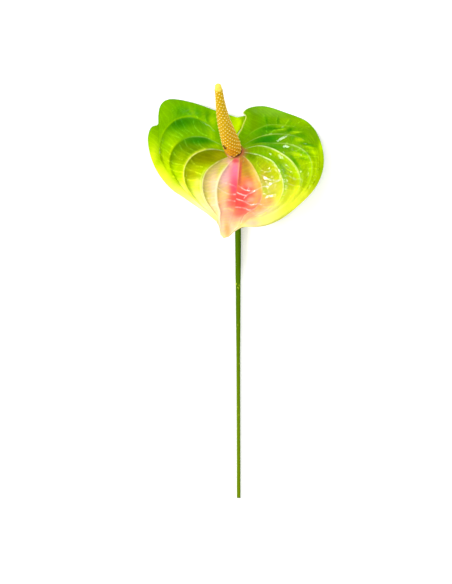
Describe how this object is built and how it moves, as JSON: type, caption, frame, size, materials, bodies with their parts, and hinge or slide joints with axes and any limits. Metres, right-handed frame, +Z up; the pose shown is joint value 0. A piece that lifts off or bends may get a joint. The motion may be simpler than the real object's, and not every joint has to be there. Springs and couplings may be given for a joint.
{
  "type": "cut anthurium flower",
  "caption": "Cut anthurium lying face up: a heart-shaped embossed bract with a tapering floret-covered spike on a long slender bare stem.",
  "frame": {"origin": "middle of the flower's outline seen from above, at the level of the surface it lies on", "axes": "+Y along the stem from the cut end to the flower, +Z up out of the surface, +X to the right seen from above with the flower at the far end"},
  "size_m": [0.1494, 0.3512, 0.0781],
  "materials": {
    "spathe": "gloss",
    "spadix": "satin",
    "stem": "satin"
  },
  "bodies": {
    "root": {"stem": "stem", "spathe": "spathe", "spadix": "spadix"}
  },
  "joints": []
}
